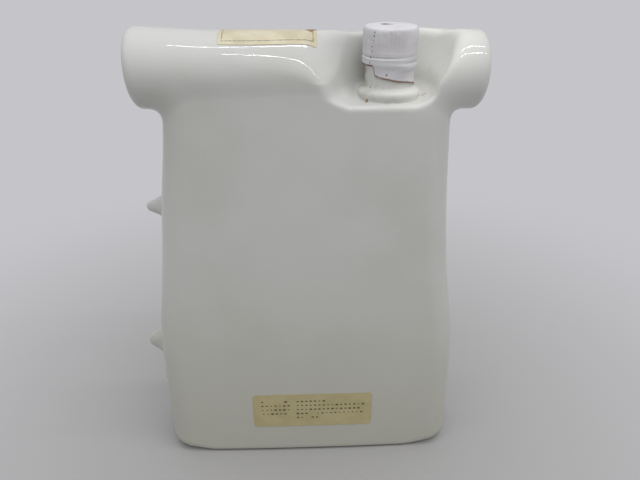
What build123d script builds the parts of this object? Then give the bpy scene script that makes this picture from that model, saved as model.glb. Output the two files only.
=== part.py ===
from build123d import *

import os
from math import cos, pi, radians, sin, sqrt

# Figural liquor decanter, in millimetres.
# The origin is the middle of the foot, +Z is up, and +Y is the plain back with the bottle neck.
# The draped front faces -Y. The neck stands off centre, towards -X.

# Glazed body: the torso
foot_width = 154.6
foot_depth = 37.0
shoulder_height = 207.0
wall = 4.8
base_wall = 5.5
foot_corner = 8.5
base_edge = 3.2
side_round = 12.0
face_crown = 1.4
crease_round = 3.0
foot_arc_degrees = (0, 25, 50, 70, 90)

# Torso stations: shares of the shoulder height, the foot width and the foot depth,
# and the lean towards -X as a share of the foot width
foot_lean_share = -0.004
torso_station_shares = (
    (0.25, 0.996, 0.995, -0.004),
    (0.36, 0.984, 0.990, -0.001),
    (0.48, 0.940, 0.982, 0.001),
    (0.60, 0.900, 0.975, 0.000),
    (0.73, 0.866, 0.972, -0.003),
    (0.86, 0.832, 0.978, -0.011),
    (1.00, 0.809, 0.984, -0.015),
)

# Shoulder roll, whose two ends are the short sleeves
sleeve_overhang_left = -4.1
sleeve_overhang_right = 1.1
roll_height = 34.4
sleeve_end_round = 5.5
sleeve_end_lift = 0.8
sleeve_end_tilt = 3.0
sleeve_rise_left = 1.2
sleeve_rise_right = -0.5
roll_middle_rise = -0.4
sleeve_arc_degrees = (0, 30, 60, 90)

# Roll stations between the sleeve ends: share of the reach, share of the roll's height and depth
roll_station_shares = (
    (0.60, 1.000),
    (0.15, 0.965),
    (-0.30, 0.955),
    (-0.65, 0.990),
)

# Recess in the back of the roll, round the neck
recess_floor_drop = 12.4
recess_floor_width = 33.2
recess_wall_width = 47.2
recess_back_wall = 5.6
recess_turn = -4.0
recess_corner = 14.0
recess_flare_left = 14.0
recess_flare_right = 1.5
recess_offset = 2.0
recess_rim_round = 1.2

# Recess stations: shares of the height to the top of the roll, of the widening and of the flare
recess_station_shares = (
    (0.00, 0.00, 0.00),
    (0.12, 0.55, 0.00),
    (0.30, 0.85, 0.15),
    (0.55, 1.00, 0.80),
    (0.80, 1.00, 0.68),
    (1.08, 1.00, 0.12),
)

# Neck, collar bead and lip
neck_side_inset = 39.3
neck_y = 1.0
neck_diameter = 21.0
bore_diameter = 16.6
collar_diameter = 27.6
collar_foot_diameter = 25.0
collar_foot_height = 2.2
collar_bead_height = 5.0
neck_height = 6.4
lip_stand = 0.1
lip_height = 3.2
lip_flare_height = 2.0
lip_edge_round = 0.8

# Stopper: a fluted cap glued to a cork
cap_diameter = 23.2
cap_height = 11.3
cap_band_height = 3.0
cap_top_round = 1.4
flute_count = 44
flute_depth = 0.25
cork_clearance = 0.05
cork_reach = 16.0
cork_socket_depth = 6.0
cork_chamfer = 1.0

# Shrink film, parted where the cap meets the lip
film = 0.3
film_part_gap = 0.4
skirt_reach = 10.2
skirt_left_reach = 4.4
skirt_tear_slope = -8.0
perforation_angle = 48.0
tear_angle = -40.0

# Draped front: a rolled neckline, and folds whose ends stand out past one side
neckline_drop = 9.4
neckline_radius = 6.2
neckline_inset = 3.7
neckline_setback = 0.5
fold_radius = 6.0
fold_inset = 1.3
nub_upper_radius = 11.4
nub_upper_stand = 1.5
nub_lower_radius = 17.6
nub_lower_stand = 10.5
nub_inset = 9.0
nub_length = 22.0
nub_flat_share = 0.65
nub_upper_height_share = 0.6725
nub_lower_height_share = 0.2831

# Neckline stations: share of the reach, share of the radius, drop as a share of the radius
neckline_station_shares = (
    (0.78, 0.30, 0.30),
    (0.50, 0.75, 0.10),
    (0.10, 1.00, 0.05),
    (-0.30, 1.00, 0.35),
    (-0.62, 1.00, -0.12),
    (-0.80, 0.80, 0.05),
    (-0.92, 0.35, 0.30),
)

# Fold stations: shares of half the foot width, of the shoulder height and of the fold radius,
# and how far it sinks into the front as a share of the fold radius
fold_upper_shares = (
    (-0.60, 0.920, 0.30, 0.60),
    (-0.25, 0.800, 0.75, 0.00),
    (0.20, 0.710, 1.00, 0.00),
    (0.55, 0.680, 0.95, 0.20),
    (0.80, 0.676, 0.60, 1.00),
)
fold_lower_shares = (
    (-0.66, 0.600, 0.30, 0.60),
    (-0.30, 0.440, 0.80, 0.00),
    (0.15, 0.335, 1.10, 0.00),
    (0.55, 0.295, 1.20, 0.10),
    (0.84, 0.284, 0.90, 1.00),
)
fold_soft_shares = (
    (-0.78, 0.330, 0.30, 0.60),
    (-0.40, 0.190, 0.75, 0.00),
    (0.05, 0.130, 0.80, 0.00),
    (0.45, 0.110, 0.60, 0.10),
    (0.72, 0.112, 0.25, 0.60),
)

# Fold end stations: share of the length in from the tip, share of the radius
nub_station_shares = (
    (0.00, 0.04),
    (0.07, 0.14),
    (0.18, 0.28),
    (0.34, 0.49),
    (0.54, 0.72),
    (0.78, 0.92),
    (1.02, 1.00),
    (1.28, 0.98),
    (1.56, 0.91),
    (1.84, 0.80),
    (2.12, 0.66),
    (2.40, 0.51),
    (2.70, 0.35),
    (3.00, 0.20),
)

# Paper labels
label_thickness = 0.15
label_glue = 0.05
back_label_width = 64.0
back_label_height = 22.0
back_label_corner = 2.0
back_label_x = -2.4
back_label_z = 29.3
strip_label_width = 41.0
strip_label_depth = 20.0
strip_label_corner = 1.2
strip_label_x = 14.0
strip_label_y = 2.0

overrun = 6.0

# Sizes that follow from the ones above
roll_depth = foot_depth
recess_inner_y = recess_back_wall - foot_depth / 2
recess_outer_y = foot_depth / 2 + recess_corner
neckline_y = neckline_inset - foot_depth / 2
fold_front_y = fold_inset - foot_depth / 2
nub_y = nub_inset - foot_depth / 2
sleeve_reach_left = foot_width / 2 + sleeve_overhang_left
sleeve_reach_right = foot_width / 2 + sleeve_overhang_right
nub_upper_reach = foot_width / 2 + nub_upper_stand
nub_lower_reach = foot_width / 2 + nub_lower_stand
neck_x = neck_side_inset - foot_width / 2
recess_x = neck_x + recess_offset
recess_floor_height = shoulder_height - recess_floor_drop
lip_top = (recess_floor_height + collar_foot_height + collar_bead_height
           + neck_height + lip_flare_height + lip_height)
bore_radius = bore_diameter / 2
neck_radius = neck_diameter / 2
cap_radius = cap_diameter / 2
lip_radius = cap_radius + lip_stand
collar_radius = collar_diameter / 2
roll_top = shoulder_height + roll_height / 2
neckline_height = roll_top - neckline_drop
neck_axis = Location((neck_x, neck_y, 0))


def slab_section(half_width, half_depth, corner):
    """One level section of the torso: crowned front and back, rounded sides."""
    shoulder = half_depth - face_crown
    with BuildSketch() as section:
        with BuildLine():
            ThreePointArc((-half_width, -shoulder), (0, -half_depth), (half_width, -shoulder))
            Line((half_width, -shoulder), (half_width, shoulder))
            ThreePointArc((half_width, shoulder), (0, half_depth), (-half_width, shoulder))
            Line((-half_width, shoulder), (-half_width, -shoulder))
        make_face()
        fillet(section.vertices(), corner)
    return section.sketch.faces()[0]


def torso(inset, floor_height):
    """The slab-like torso, flared to the foot, drawn in by inset all round."""
    half_width = foot_width / 2 - inset
    half_depth = foot_depth / 2 - inset
    corner = side_round - inset
    rise = foot_corner - floor_height
    sections = []
    for angle in foot_arc_degrees:
        level = rise * (1 - cos(radians(angle)))
        tuck = rise * (1 - sin(radians(angle)))
        below = max(base_edge - level, 0)
        edge = base_edge - sqrt(base_edge ** 2 - below ** 2)
        face = slab_section(half_width - tuck, half_depth - edge, corner - edge)
        sections.append(Pos(foot_width * foot_lean_share, 0, floor_height + level) * face)
    for height_share, width_share, depth_share, lean_share in torso_station_shares:
        face = slab_section(
            foot_width * width_share / 2 - inset,
            foot_depth * depth_share / 2 - inset,
            corner,
        )
        sections.append(Pos(foot_width * lean_share, 0, shoulder_height * height_share) * face)
    return loft(sections)


def roll_section(x, rise, half_height, half_depth, tilt=0):
    """One elliptical section of the shoulder roll at x, upright or tilted out at its top."""
    facing = (cos(radians(tilt)), 0, -sin(radians(tilt)))
    plane = Plane(origin=(x, 0, shoulder_height + rise), x_dir=(0, 1, 0), z_dir=facing)
    return plane * Ellipse(half_depth, half_height)


def sleeve_sections(reach, rise, direction, inset):
    """Sections that round off one sleeve end, from the sleeve's full size outwards."""
    half_height = roll_height / 2 - inset
    half_depth = roll_depth / 2 - inset
    sections = []
    for angle in sleeve_arc_degrees:
        out = sleeve_end_round * (1 - sin(radians(angle)))
        tucked = 1 - cos(radians(angle))
        tuck = sleeve_end_round * tucked
        lift = rise + sleeve_end_lift * tucked
        x = direction * (reach - inset - out)
        sections.append(roll_section(
            x, lift, half_height - tuck, half_depth - tuck, direction * sleeve_end_tilt))
    return sections


def shoulder_roll(inset):
    """The horizontal roll whose ends are the two short sleeves."""
    left = sleeve_sections(sleeve_reach_left, sleeve_rise_left, 1, inset)
    right = sleeve_sections(sleeve_reach_right, sleeve_rise_right, -1, inset)
    middle = []
    for reach_share, size_share in roll_station_shares:
        reach = sleeve_reach_left if reach_share > 0 else sleeve_reach_right
        middle.append(roll_section(
            reach * reach_share,
            roll_middle_rise,
            roll_height * size_share / 2 - inset,
            roll_depth / 2 - inset,
        ))
    return loft(left[::-1] + middle + right)


def recess_outline(half, flare, grow):
    """One level section of the recess: its left wall slants outwards to the back."""
    inner = recess_inner_y - grow
    right = recess_x - half - recess_flare_right * flare - grow
    left_inner = recess_x + half + grow
    slant = (recess_outer_y - inner) / (foot_depth / 2 - inner)
    left_outer = left_inner + recess_flare_left * flare * slant
    with BuildSketch() as outline:
        with BuildLine():
            Polyline(
                (right, inner),
                (left_inner, inner),
                (left_outer, recess_outer_y),
                (right, recess_outer_y),
                (right, inner),
            )
        make_face()
        fillet(outline.vertices().group_by(Axis.Y)[0], recess_corner)
    return outline.sketch.faces()[0]


def recess(grow):
    """The hollow scooped out of the roll's back for the neck, grown by grow on every side."""
    full_height = roll_top - recess_floor_height
    sections = []
    for height_share, widen_share, flare_share in recess_station_shares:
        half = (recess_floor_width + (recess_wall_width - recess_floor_width) * widen_share) / 2
        outline = recess_outline(half, flare_share, grow)
        turned = Pos(recess_x, 0) * Rot(0, 0, recess_turn) * Pos(-recess_x, 0) * outline
        sections.append(Pos(0, 0, recess_floor_height - grow + full_height * height_share) * turned)
    return loft(sections)


def collar_levels():
    """Heights of the collar, neck and lip, from the recess floor up."""
    bead = recess_floor_height + collar_foot_height
    neck = bead + collar_bead_height
    flare = neck + neck_height
    return bead, neck, flare, flare + lip_flare_height


def neck_profile(skin):
    """Half outline of the collar bead, neck and lip, with skin added to each radius."""
    bead, neck, flare, lip = collar_levels()
    buried = recess_floor_height - wall
    foot_radius = collar_foot_diameter / 2 + skin
    edge = lip_edge_round
    with BuildSketch(Plane.XZ) as profile:
        with BuildLine():
            Polyline((0, lip_top), (0, buried), (foot_radius, buried), (foot_radius, bead))
            ThreePointArc(
                (foot_radius, bead),
                (collar_radius + skin, (bead + neck) / 2),
                (foot_radius, neck),
            )
            Line((foot_radius, neck), (neck_radius + skin, neck))
            Line((neck_radius + skin, neck), (neck_radius + skin, flare))
            Line((neck_radius + skin, flare), (lip_radius + skin, lip))
            Line((lip_radius + skin, lip), (lip_radius + skin, lip_top - edge))
            CenterArc((lip_radius + skin - edge, lip_top - edge), edge, 0, 90)
            Line((lip_radius + skin - edge, lip_top), (0, lip_top))
        make_face()
    return profile.sketch


def neck_outside(skin):
    """The turned collar, neck and lip."""
    return neck_axis * revolve(neck_profile(skin), Axis.Z)


def fold(share_rows):
    """A hanging fold: a ridge along the front, swelling and fading with its stations."""
    sections = []
    for x_share, z_share, radius_share, sink_share in share_rows:
        x = foot_width / 2 * x_share
        y = fold_front_y + fold_radius * sink_share
        place = Plane(origin=(x, y, shoulder_height * z_share), x_dir=(0, 1, 0), z_dir=(1, 0, 0))
        sections.append(place * Circle(fold_radius * radius_share))
    return loft(sections)


def nub(reach, height, radius):
    """The pointed end of a fold: it swells out of the front and stands out past the side."""
    sections = []
    for in_share, radius_share in nub_station_shares:
        x = reach - nub_length * in_share
        half_height = radius * radius_share
        place = Plane(origin=(x, nub_y, height), x_dir=(0, 1, 0), z_dir=(1, 0, 0))
        sections.append(place * Ellipse(half_height * nub_flat_share, half_height))
    return loft(sections)


def neckline():
    """The rolled neckline along the front of the shoulder roll."""
    sections = []
    for reach_share, radius_share, drop_share in neckline_station_shares:
        reach = sleeve_reach_left if reach_share > 0 else sleeve_reach_right
        height = neckline_height - neckline_radius * drop_share
        place = Plane(
            origin=(reach * reach_share, neckline_y, height), x_dir=(0, 1, 0), z_dir=(1, 0, 0))
        sections.append(place * Circle(neckline_radius * radius_share))
    return loft(sections)


def glazed_outside():
    """The closed outer form: torso and roll, scooped out behind and draped in front."""
    trunk = torso(0, 0)
    roll = shoulder_roll(0)
    form = trunk + roll
    form = form.fillet(crease_round, new_edges(trunk, roll, combined=form))
    scoop = recess(0)
    scooped = form - scoop
    scooped = scooped.fillet(recess_rim_round, new_edges(form, scoop, combined=scooped))
    scooped += neckline() - recess(neckline_setback)
    for share_rows in (fold_upper_shares, fold_lower_shares, fold_soft_shares):
        scooped += fold(share_rows)
    scooped += nub(nub_upper_reach, shoulder_height * nub_upper_height_share, nub_upper_radius)
    scooped += nub(nub_lower_reach, shoulder_height * nub_lower_height_share, nub_lower_radius)
    return scooped + neck_outside(0)


def liquor_space():
    """The hollow of the vessel, one wall inside the outer form, up to the recess and its sleeve."""
    solid_sleeve = Pos(recess_x, 0, recess_floor_height - wall) * Box(
        foot_width, foot_depth * 2, roll_height * 2, align=(Align.MAX, Align.CENTER, Align.MIN))
    return torso(wall, base_wall) + shoulder_roll(wall) - recess(wall) - solid_sleeve


def make_decanter_body():
    """The glazed vessel, hollow through to the bore of its neck."""
    bore_foot = recess_floor_height - wall - overrun
    bore = neck_axis * Pos(0, 0, bore_foot) * Cylinder(
        bore_radius, lip_top + overrun - bore_foot, align=(Align.CENTER, Align.CENTER, Align.MIN))
    return glazed_outside() - liquor_space() - bore


def make_stopper_cork():
    """The cork: a plain shank with a chamfered foot."""
    length = cork_reach + cork_socket_depth
    shank = Cylinder(
        bore_radius - cork_clearance, length, align=(Align.CENTER, Align.CENTER, Align.MIN))
    shank = chamfer(shank.edges().group_by(Axis.Z)[0], cork_chamfer)
    return neck_axis * Pos(0, 0, lip_top - cork_reach) * shank


def make_stopper_cap():
    """The fluted cap, with the socket that the cork is glued into."""
    cap = Cylinder(cap_radius, cap_height, align=(Align.CENTER, Align.CENTER, Align.MIN))
    cap = fillet(cap.edges().group_by(Axis.Z)[-1], cap_top_round)
    flute_length = cap_height - cap_band_height
    flute_radius = pi * cap_radius / flute_count / 2
    flute = Cylinder(flute_radius, flute_length, align=(Align.CENTER, Align.CENTER, Align.MIN))
    flutes = Pos(0, 0, cap_band_height) * PolarLocations(
        cap_radius + flute_radius - flute_depth, flute_count) * flute
    socket = Cylinder(
        bore_radius - cork_clearance, cork_socket_depth, align=(Align.CENTER, Align.CENTER, Align.MIN))
    return neck_axis * Pos(0, 0, lip_top) * (cap - flutes - socket)


def make_capsule_crown():
    """The film drawn over the cap: a thin closed sleeve."""
    outer = Cylinder(
        cap_radius + film, cap_height + film, align=(Align.CENTER, Align.CENTER, Align.MIN))
    outer = fillet(outer.edges().group_by(Axis.Z)[-1], cap_top_round + film)
    inner = Cylinder(cap_radius, cap_height, align=(Align.CENTER, Align.CENTER, Align.MIN))
    inner = fillet(inner.edges().group_by(Axis.Z)[-1], cap_top_round)
    return neck_axis * Pos(0, 0, lip_top) * (outer - inner)


def make_capsule_skirt():
    """The film left on the lip and neck, torn off at a slant with a step at the perforation."""
    radius = lip_radius + film + overrun
    upper = lip_top - film_part_gap
    lower = lip_top - skirt_reach
    band = Pos(0, 0, lower) * Cylinder(
        radius, upper - lower, align=(Align.CENTER, Align.CENTER, Align.MIN))
    slant = Pos(0, 0, lower) * Rot(0, skirt_tear_slope, 0) * Box(
        radius * 4, radius * 4, overrun * 2, align=(Align.CENTER, Align.CENTER, Align.MAX))
    with BuildSketch() as sector:
        with BuildLine():
            Polyline(
                (0, 0),
                (radius * cos(radians(perforation_angle)), radius * sin(radians(perforation_angle))),
                (radius * 2, 0),
                (radius * cos(radians(tear_angle)), radius * sin(radians(tear_angle))),
                (0, 0),
            )
        make_face()
    torn = Pos(0, 0, lower - overrun) * extrude(
        sector.sketch, skirt_reach - skirt_left_reach + overrun)
    skirt = neck_axis * (band - slant - torn)
    return (skirt & neck_outside(film)) - neck_outside(0)


def make_back_label():
    """The paper label low on the back."""
    outline = RectangleRounded(back_label_width, back_label_height, back_label_corner)
    plane = Plane(origin=(back_label_x, 0, back_label_z), x_dir=(-1, 0, 0), z_dir=(0, 1, 0))
    block = extrude(plane * outline, foot_depth)
    return (torso(-label_glue - label_thickness, 0) & block) - torso(-label_glue, 0)


def make_shoulder_label():
    """The paper strip over the top of the shoulder roll."""
    outline = RectangleRounded(strip_label_width, strip_label_depth, strip_label_corner)
    block = extrude(Pos(strip_label_x, strip_label_y, shoulder_height) * outline, roll_height)
    return (shoulder_roll(-label_glue - label_thickness) & block) - shoulder_roll(-label_glue)


def save(name, shape):
    """Write one piece and print what it holds."""
    solids = shape.solids()
    print(name, "solids", len(solids), "volume", round(shape.volume, 1), "valid", shape.is_valid)
    export_step(shape, "parts/" + name + ".step")


os.makedirs("parts", exist_ok=True)
save("decanter_body", make_decanter_body())
save("stopper_cork", make_stopper_cork())
save("stopper_cap", make_stopper_cap())
save("capsule_crown", make_capsule_crown())
save("capsule_skirt", make_capsule_skirt())
save("back_label", make_back_label())
save("shoulder_label", make_shoulder_label())
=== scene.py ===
"""Looks of a figural liquor decanter: glazed body, film-wrapped stopper and two paper labels.

Sizes are in millimetres until a mesh is written, which is in metres like the frame. The plain back
with the bottle neck faces +Y and the draped front faces -Y.
"""

import logging
import math
from collections.abc import Callable
from dataclasses import dataclass, field
from enum import Enum

import bmesh
import bpy
import numpy as np
from mathutils import Matrix, Vector


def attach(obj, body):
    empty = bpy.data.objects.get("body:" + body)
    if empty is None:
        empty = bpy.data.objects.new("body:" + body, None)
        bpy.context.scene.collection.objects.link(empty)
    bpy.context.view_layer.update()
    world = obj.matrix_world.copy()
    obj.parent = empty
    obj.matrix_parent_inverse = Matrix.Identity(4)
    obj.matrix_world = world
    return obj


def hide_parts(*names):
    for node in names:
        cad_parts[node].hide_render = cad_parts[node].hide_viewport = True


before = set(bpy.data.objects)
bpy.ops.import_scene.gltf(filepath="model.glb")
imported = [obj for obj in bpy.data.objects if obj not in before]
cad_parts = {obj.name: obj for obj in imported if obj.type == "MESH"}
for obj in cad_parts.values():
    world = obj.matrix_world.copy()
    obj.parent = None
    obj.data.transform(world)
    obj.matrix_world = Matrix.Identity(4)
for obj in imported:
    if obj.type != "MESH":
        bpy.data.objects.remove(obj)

logging.basicConfig(level=logging.INFO, format="%(message)s")
log = logging.getLogger("decanter")

MM = 0.001
TINY = 1e-9
SMALL = 1e-6
LEAST_SLOPE = 1e-3
SHARP_EDGE = math.radians(50)
Array = np.ndarray
Field = Callable[[Array, Array, Array], Array]
Colour = tuple[float, float, float]
Place = tuple[float, float, float]
Span = tuple[float, float]
Rows = tuple[tuple[float, tuple[Span, ...]], ...]
Socket = bpy.types.NodeSocket
Tree = bpy.types.NodeTree


class Body(Enum):
    """The two bodies that the joint moves against each other."""

    VESSEL = "vessel"
    STOPPER = "stopper"


# Solid shapes as distance fields


@dataclass(frozen=True)
class Stations:
    """A smooth curve through a table of stations, level beyond both ends."""

    places: tuple[float, ...]
    values: tuple[float, ...]

    def at(self, where: Array) -> Array:
        """Reads the curve.

        Args:
            where: Places to read it at.

        Returns:
            The curve's values there.
        """
        place, value = np.asarray(self.places, float), np.asarray(self.values, float)
        last = len(place) - 1
        gap = np.diff(place)
        slope = np.diff(value) / gap
        system, pull = np.eye(last + 1), np.zeros(last + 1)
        for i in range(1, last):
            system[i, i - 1:i + 2] = gap[i - 1], 2 * (gap[i - 1] + gap[i]), gap[i]
            pull[i] = 6 * (slope[i] - slope[i - 1])
        bend = np.linalg.solve(system, pull)
        t = np.clip(where, place[0], place[-1])
        i = np.clip(np.searchsorted(place, t) - 1, 0, last - 1)
        before, after, g = t - place[i], place[i + 1] - t, gap[i]
        curved = (bend[i] * after ** 3 + bend[i + 1] * before ** 3) / (6 * g)
        return (curved + (value[i] / g - bend[i] * g / 6) * after
                + (value[i + 1] / g - bend[i + 1] * g / 6) * before)


def join(a: Array, b: Array, soft: Array | float) -> Array:
    """Unites two fields with a fillet.

    Args:
        a: First field.
        b: Second field.
        soft: Width of the fillet.

    Returns:
        The united field.
    """
    near = np.maximum(soft - np.abs(a - b), 0) / soft
    return np.minimum(a, b) - near * near * soft / 4


def cut(a: Array, tool: Array, soft: Array | float) -> Array:
    """Takes the tool's field away from a, with a softened rim."""
    return -join(-a, tool, soft)


def meet(a: Array, b: Array, radius: Array | float) -> Array:
    """Keeps what two fields share, with a round edge.

    Args:
        a: First field.
        b: Second field.
        radius: Radius of the edge where they meet.

    Returns:
        The shared field.
    """
    a, b = a + radius, b + radius
    return np.minimum(np.maximum(a, b), 0) + np.hypot(np.maximum(a, 0), np.maximum(b, 0)) - radius


def round_box(u: Array, v: Array, half_u: Array, half_v: Array, corner: Array | float) -> Array:
    """Distance to a rounded rectangle.

    Args:
        u: Places along its width.
        v: Places along its height.
        half_u: Half its width.
        half_v: Half its height.
        corner: Radius of its corners.

    Returns:
        Signed distances, negative inside.
    """
    return meet(np.abs(u) - half_u, np.abs(v) - half_v, corner)


def oval(u: Array, v: Array, half_u: Array | float, half_v: Array | float) -> Array:
    """Approximate signed distance to an ellipse.

    Args:
        u: Places along its first axis.
        v: Places along its second axis.
        half_u: Half the first axis.
        half_v: Half the second axis.

    Returns:
        Signed distances, negative inside.
    """
    near = np.hypot(u / half_u, v / half_v) + SMALL
    steep = np.hypot(u / half_u ** 2, v / half_v ** 2) + TINY
    return near * (near - 1) / steep


def ease(value: Array, low: float, high: float) -> Array:
    """0 below low, 1 above high and smooth between them."""
    t = np.clip((value - low) / (high - low), 0, 1)
    return t * t * (3 - 2 * t)


@dataclass(frozen=True)
class Fold:
    """A hanging fold on the front, as stations along X."""

    x: tuple[float, ...]
    z: tuple[float, ...]
    y: tuple[float, ...]
    radius: tuple[float, ...]
    step: float = 0.5

    def field(self, x: Array, y: Array, z: Array) -> Array:
        """Signed distance to the fold's ridge.

        Args:
            x: Places along X in millimetres.
            y: Places along Y.
            z: Places along Z.

        Returns:
            Signed distances, negative inside.
        """
        height = Stations(self.x, self.z)
        slope = (height.at(x + self.step) - height.at(x - self.step)) / (2 * self.step)
        drop = (z - height.at(x)) / np.hypot(1, slope)
        ridge = np.hypot(y - Stations(self.x, self.y).at(x), drop) - Stations(self.x, self.radius).at(x)
        return np.maximum(np.maximum(ridge, x - self.x[-1]), self.x[0] - x)


@dataclass(frozen=True)
class Nub:
    """The pointed end of a fold, which stands out past the side."""

    reach: float
    height: float
    radius: float
    y: float = -9.5
    length: float = 22.0
    flat: float = 0.65
    tip: float = 1.9
    shares: tuple[tuple[float, float], ...] = (
        (-3.00, 0.20), (-2.40, 0.51), (-1.84, 0.80), (-1.28, 0.98), (-1.02, 1.00), (-0.78, 0.92),
        (-0.54, 0.72), (-0.34, 0.49), (-0.18, 0.32), (0.00, 0.18),
    )

    def field(self, x: Array, y: Array, z: Array) -> Array:
        """Signed distance to the nub.

        Args:
            x: Places along X in millimetres.
            y: Places along Y.
            z: Places along Z.

        Returns:
            Signed distances, negative inside.
        """
        places = tuple(self.reach + self.length * out for out, _ in self.shares)
        half = Stations(places, tuple(self.radius * share for _, share in self.shares)).at(x)
        body = oval(y - self.y, z - self.height, half * self.flat, half)
        return np.maximum(meet(body, x - self.reach, self.tip), places[0] - x)


@dataclass(frozen=True)
class VesselForm:
    """The glazed form as a distance field: torso, shoulder roll, recess, neck and draped front."""

    shoulder: float = 207.0
    torso_overlap: float = 4.0
    foot_corner: float = 8.5
    corner_start: float = 26.0
    corner_end: float = 5.0
    base_edge: float = 3.2
    side_round: float = 12.0
    face_crown: float = 1.4
    half_width: Stations = Stations(
        (0, 51.75, 74.5, 99.4, 124.2, 151.1, 178.0, 207.0, 216.0),
        (77.3, 77.0, 76.06, 72.66, 69.57, 66.94, 64.31, 62.5, 62.2))
    half_depth: Stations = Stations(
        (0, 51.75, 99.4, 151.1, 178.0, 196.0, 204.0, 212.0),
        (18.45, 18.38, 18.15, 17.96, 18.0, 18.05, 17.7, 15.5))
    lean: Stations = Stations(
        (0, 51.75, 74.5, 99.4, 124.2, 151.1, 178.0, 207.0),
        (-0.62, -0.62, -0.15, 0.15, 0.0, -0.46, -1.70, -2.32))
    reach_left: float = 73.2
    reach_right: float = 78.4
    sleeve_round: float = 3.8
    sleeve_tilt: float = 3.0
    roll_depth: float = 18.4
    roll_height: Stations = Stations(
        (-72.9, -51.0, -23.5, 11.0, 43.9, 67.7), (16.8, 16.7, 16.43, 16.6, 17.2, 17.2))
    roll_rise: Stations = Stations(
        (-72.9, -51.0, -23.5, 11.0, 43.9, 67.7), (-0.9, -0.7, -0.4, -0.4, -0.3, 1.2))
    floor: float = 194.6
    recess_full: float = 29.6
    recess_x: float = -36.0
    recess_turn: float = -4.0
    recess_inner: float = -12.9
    left_corner: float = 16.0
    left_slant: float = 0.45
    slant_from: float = 14.0
    facet_y: float = 17.6
    facet_out: float = 0.74
    facet_up: float = 0.67
    facet_line: Stations = Stations(
        (-80, -45, -24, -12, -6.7, -3.2, 3.1, 11.4, 22.0, 27.7, 38, 50, 100),
        (262, 262, 203, 203.5, 206.7, 209.2, 212.0, 214.2, 215.6, 216.6, 220, 226, 240))
    right_corner: float = 14.0
    floor_round: float = 7.0
    left_wall: Stations = Stations(
        (0, 0.12, 0.30, 0.55, 0.80, 0.93, 1.08), (18.5, 20.0, 21.5, 23.3, 25.2, 26.2, 27.0))
    right_wall: Stations = Stations(
        (0, 0.11, 0.26, 0.50, 0.72, 0.93, 1.08), (19.5, 21.0, 21.9, 25.1, 27.9, 29.7, 30.2))
    flare_start: float = 8.0
    flare_reach: float = 12.0
    flare: Stations = Stations(
        (0, 0.09, 0.20, 0.32, 0.41, 0.49, 0.57, 0.65, 0.80, 1.08),
        (0.5, 1.7, 1.6, 2.2, 2.6, 2.6, 2.4, 2.2, 2.0, 1.5))
    neck_x: float = -38.0
    neck_y: float = 1.0
    neck_radius: float = 10.5
    neck_round: float = 0.6
    neck_fillet: float = 1.6
    neck_foot: float = 186.0
    collar_radius: float = 12.3
    collar_top: float = 197.0
    collar_round: float = 1.0
    bead_radius: float = 11.0
    bead_middle: float = 197.3
    bead_half: Span = (2.8, 2.4)
    lip_radius: float = 11.35
    lip_top: float = 213.4
    lip_middle: float = 211.5
    lip_half: float = 1.9
    lip_round: float = 0.8
    lip_fillet: float = 2.4
    wall: float = 4.8
    base_wall: float = 5.5
    bore: float = 8.3
    hollow_fillet: float = 3.0
    shoulder_middle: float = -1.5
    shoulder_ends: Span = (46.0, 62.0)
    shoulder_fillet: float = 1.5
    sleeve_fillet: float = 4.5
    neckline_fillet: float = 4.0
    fold_fillet: float = 6.0
    nub_fillet: float = 5.0
    rim: float = 2.7
    scoop_side: Span = (-26.0, -12.0)
    scoop_rim: float = 3.5
    scoop_rise: Span = (204.0, 211.0)
    crest_rim: float = 1.0
    crest_rise: Span = (215.5, 220.0)
    back_rim: float = 2.4
    back_rise: Span = (210.0, 218.0)
    back_side: Span = (-9.0, 5.0)
    facet_rise: Span = (198.0, 205.0)
    facet_clear: float = 40.0
    facet_rim: float = 3.0
    folds: tuple[Fold, ...] = (
        Fold((-50, -46, -19, 15, 43, 62), (191, 190.4, 165.6, 147, 140.8, 139.9),
             (-12, -13.6, -17.2, -17.2, -16, -11.2), (-2, 1.8, 4.5, 6.0, 5.7, 3.6)),
        Fold((-56, -51, -23, 12, 43, 65), (126, 124.2, 91, 69.3, 61, 58.8),
             (-12, -13.6, -17.0, -17.0, -16.3, -11.2), (-2, 1.8, 4.8, 6.4, 6.9, 5.4)),
        Fold((-64, -60, -31, 4, 35, 56, 60), (69, 68.3, 39.3, 26.9, 22.8, 23.2, 23.4),
             (-12, -13.6, -17.2, -17.2, -16.6, -13.6, -12), (-2, 1.8, 4.5, 4.8, 3.6, 1.5, -2)),
    )
    neckline: Fold = Fold(
        (-76, -73, -66.5, -58, -48.6, -23.5, 7.3, 36.6, 57.1, 61),
        (213.5, 214.2, 215.4, 215.6, 215.5, 214.3, 214.5, 214.2, 212.9, 212.8),
        (-14.8, -14.8, -14.8, -14.8, -14.8, -14.8, -14.8, -14.8, -14.8, -14.8),
        (-2, 3.2, 5.6, 6.0, 6.2, 6.2, 6.2, 4.6, 1.9, -2))
    nubs: tuple[Nub, ...] = (Nub(78.4, 139.2, 11.0), Nub(87.4, 58.6, 17.2))
    waver: float = 0.05
    waver_rise: Span = (1.0, 9.0)
    ripples: tuple[tuple[float, tuple[float, ...], tuple[float, ...]], ...] = (
        (1.0, (1 / 11.0, 0.0, 1 / 17.0, 0.0), (0.0, -1 / 9.0, 1 / 13.0, 0.0)),
        (0.6, (1 / 6.1, 0.0, -1 / 23.0, 2.0), (1 / 19.0, 0.0, 1 / 8.3, 1.0)),
    )

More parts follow.
